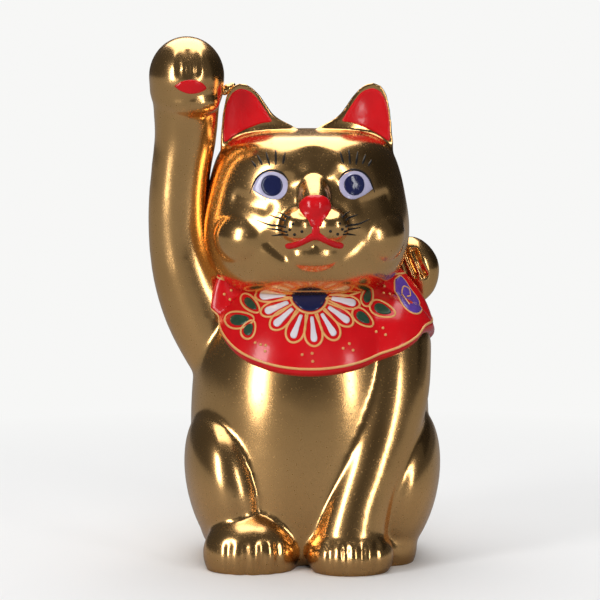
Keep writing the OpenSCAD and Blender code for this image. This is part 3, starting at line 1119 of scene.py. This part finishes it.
def floor():
    """A sheet of paper that fades into the backdrop, and that looks dimmer in a reflection."""
    bm = bmesh.new()
    bmesh.ops.create_grid(bm, x_segments=8, y_segments=8, size=6.0)
    sheet = linked("floor", bm)
    paper = Finish("floor_paper", Roughness=0.8)
    seen = paper.node("ShaderNodeLightPath", {}, {}, "Is Camera Ray")
    paper.wear(Base_Color=paper.blend(seen, (0.26, 0.26, 0.27), (0.80, 0.80, 0.80)))
    distance = paper.node("ShaderNodeVectorMath", {"operation": "LENGTH"}, {0: paper.place}, "Value")
    haze_colour = paper.blend(seen, (0.26, 0.27, 0.28), BACKDROP)
    haze = paper.node("ShaderNodeEmission", {}, {"Color": haze_colour})
    far = paper.spread(distance, 0.12, 0.5)
    near = Wire(paper, paper.shader.outputs[0])
    mixed = paper.node("ShaderNodeMixShader", {}, {0: far, 1: near, 2: haze})
    out = next(n for n in paper.tree.nodes if n.type == "OUTPUT_MATERIAL")
    paper.tree.links.new(mixed.socket, out.inputs["Surface"])
    sheet.data.materials.append(paper.material)


def dark_card():
    """A dark sheet that only the reflections see."""
    bm = bmesh.new()
    low = [(x, y, CARD_LOW) for x, y in CARD_ENDS]
    top = [(x, y, CARD_TOP) for x, y in reversed(CARD_ENDS)]
    bm.faces.new([bm.verts.new(c) for c in low + top])
    card = linked("dark_card", bm)
    felt = Finish("dark_felt", Roughness=1.0)
    felt.wear(Base_Color=felt.blend(felt.noise(40), (0.004, 0.004, 0.004), (0.008, 0.008, 0.008)))
    card.data.materials.append(felt.material)
    card.visible_camera = card.visible_shadow = card.visible_diffuse = False


floor()
dark_card()
print("floor and card laid")


# %% Lights
AIM_AT = (0, 0, 0.14)


def softbox(name, place, size, power):
    """A soft rectangular light, turned to the cat. Metres and watts."""
    light = bpy.data.lights.new(name, "AREA")
    light.shape = "RECTANGLE"
    light.size, light.size_y = size
    light.energy = power
    lamp = bpy.data.objects.new(name, light)
    bpy.context.scene.collection.objects.link(lamp)
    lamp.location = place
    lamp.rotation_euler = (Vector(AIM_AT) - Vector(place)).to_track_quat("-Z", "Y").to_euler()
    return lamp


softbox("overhead", (0.0, 0.25, 0.95), (0.9, 1.3), 11)
softbox("left_box", (-0.95, -0.75, 0.43), (0.30, 0.78), 7)
softbox("right_box", (0.70, -1.05, 0.38), (0.16, 0.68), 3)
fill = softbox("front_fill", (0.1, -1.6, 0.7), (0.8, 0.8), 12)
fill.visible_glossy = False


def studio_air():
    """A pale backdrop to look at, and a dimmer room to be lit by."""
    world = bpy.data.worlds.new("studio")
    world.use_nodes = True
    nodes, links = world.node_tree.nodes, world.node_tree.links
    room = nodes["Background"]
    room.inputs["Color"].default_value = (0.95, 0.97, 1.0, 1)
    room.inputs["Strength"].default_value = 0.06
    backdrop = nodes.new("ShaderNodeBackground")
    backdrop.inputs["Color"].default_value = (*BACKDROP, 1)
    rays = nodes.new("ShaderNodeLightPath")
    mixed = nodes.new("ShaderNodeMixShader")
    links.new(rays.outputs["Is Camera Ray"], mixed.inputs[0])
    links.new(room.outputs[0], mixed.inputs[1])
    links.new(backdrop.outputs[0], mixed.inputs[2])
    links.new(mixed.outputs[0], nodes["World Output"].inputs["Surface"])
    bpy.context.scene.world = world


studio_air()
bpy.context.scene.view_settings.view_transform = "Standard"
print("studio set")

# %% [markdown]
# ## The camera
# A long lens at the height of the cat's chest, looking a little down and from a little to its right.

# %% Camera
LENS, SENSOR, VIEW_WIDTH = 200, 36, 0.3055
AZIMUTH, ELEVATION = math.radians(-5), math.radians(6.5)
AIM = Vector((-0.005, 0, 0.1295))
distance = LENS / SENSOR * VIEW_WIDTH
away = outward(AZIMUTH) * math.cos(ELEVATION) + Vector((0, 0, math.sin(ELEVATION)))
camera_data = bpy.data.cameras.new("camera")
camera_data.lens, camera_data.sensor_width = LENS, SENSOR
camera = bpy.data.objects.new("camera", camera_data)
bpy.context.scene.collection.objects.link(camera)
camera.location = AIM + away * distance
camera.rotation_euler = (-away).to_track_quat("-Z", "Y").to_euler()
bpy.context.scene.camera = camera
print("camera", round(distance, 2), "m away")
